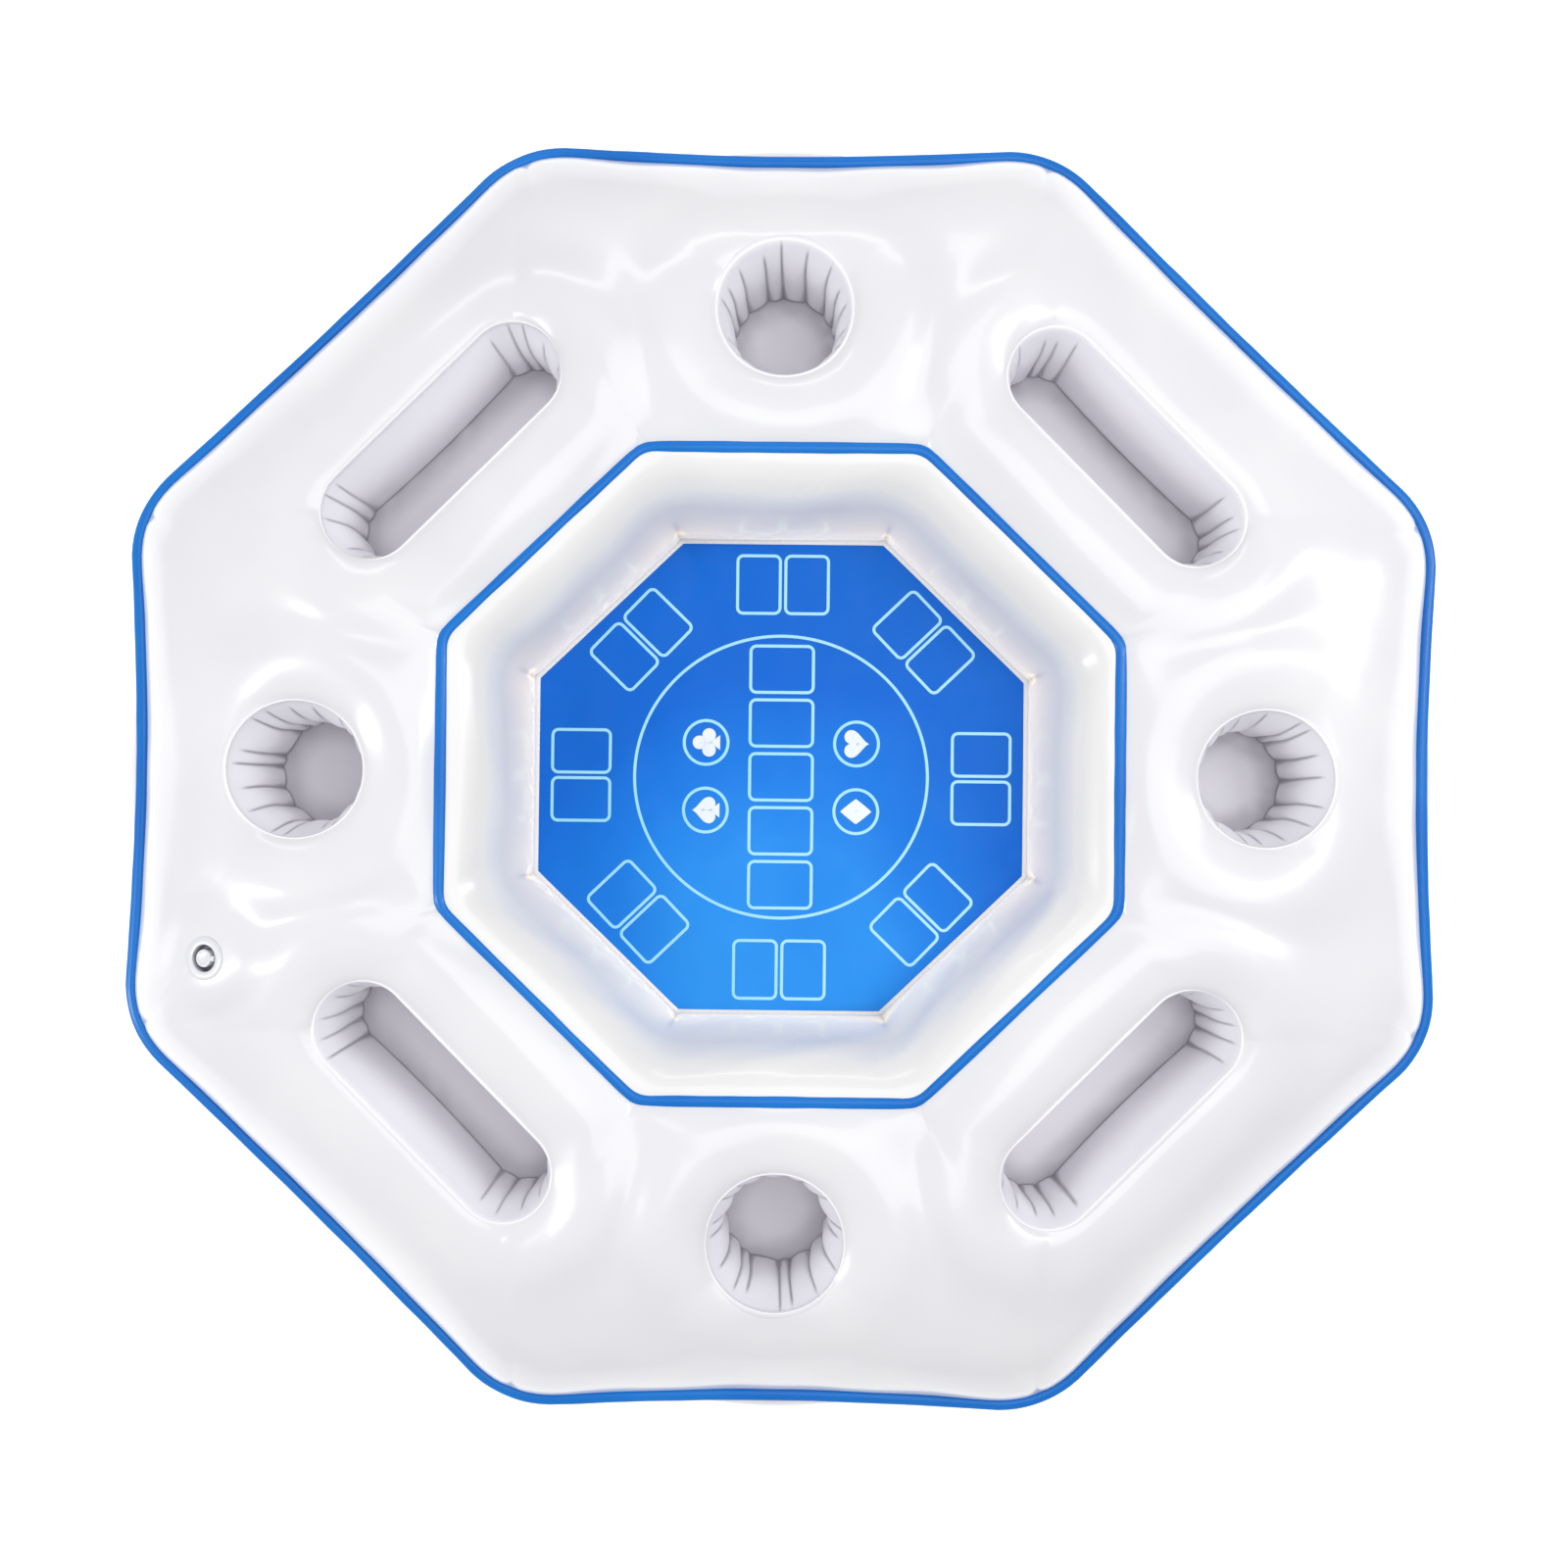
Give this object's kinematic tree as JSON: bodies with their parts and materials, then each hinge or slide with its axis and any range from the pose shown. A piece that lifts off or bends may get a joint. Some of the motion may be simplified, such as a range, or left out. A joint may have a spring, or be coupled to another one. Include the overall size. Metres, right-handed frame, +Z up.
{
  "type": "inflatable floating card table",
  "caption": "Octagonal inflatable floating card table: a puffy white ring round a sunk printed blue mat, with round cup wells, long trays and a push-in air valve.",
  "frame": {"origin": "under the middle of the table, on the plane that it rests on", "axes": "+Z up; +X along the wider direction, towards the east cup; the print on the mat reads upright towards -X"},
  "size_m": [0.997, 0.9602, 0.1615],
  "materials": {
    "white_vinyl": "glossy",
    "well_vinyl": "glossy",
    "blue_vinyl": "glossy",
    "mat_vinyl": "satin",
    "valve_vinyl": "satin"
  },
  "bodies": {
    "root": {"top_panel": "white_vinyl", "bottom_panel": "white_vinyl", "outer_seam_piping": "blue_vinyl", "inner_seam_piping": "blue_vinyl", "well_wall": "white_vinyl", "playing_mat": "mat_vinyl", "cup_sleeve_east": "well_vinyl", "cup_floor_east": "well_vinyl", "tray_sleeve_north_east": "well_vinyl", "tray_floor_north_east": "well_vinyl", "cup_sleeve_north": "well_vinyl", "cup_floor_north": "well_vinyl", "tray_sleeve_north_west": "well_vinyl", "tray_floor_north_west": "well_vinyl", "cup_sleeve_west": "well_vinyl", "cup_floor_west": "well_vinyl", "tray_sleeve_south_west": "well_vinyl", "tray_floor_south_west": "well_vinyl", "cup_sleeve_south": "well_vinyl", "cup_floor_south": "well_vinyl", "tray_sleeve_south_east": "well_vinyl", "tray_floor_south_east": "well_vinyl", "valve_flange": "valve_vinyl"},
    "valve_stem_body": {"valve_stem": "valve_vinyl"},
    "valve_plug_body": {"valve_plug": "valve_vinyl", "valve_tether": "valve_vinyl"},
    "valve_flap_body": {"valve_check_flap": "valve_vinyl"}
  },
  "joints": [
    {"name": "valve_pull_out", "type": "slide", "parent": "root", "child": "valve_stem_body", "axis": [-0.342, 0, 0.9397], "range_m": [0, 0.012]},
    {"name": "valve_plug_open", "type": "hinge", "parent": "valve_stem_body", "child": "valve_plug_body", "pos_m": [-0.4115, -0.139, 0.15449], "axis": [0, 1, 0], "range_deg": [0, 120]},
    {"name": "valve_flap_open", "type": "hinge", "parent": "valve_stem_body", "child": "valve_flap_body", "pos_m": [-0.40567, -0.139, 0.12969], "axis": [0, -1, 0], "range_deg": [0, 60]}
  ]
}
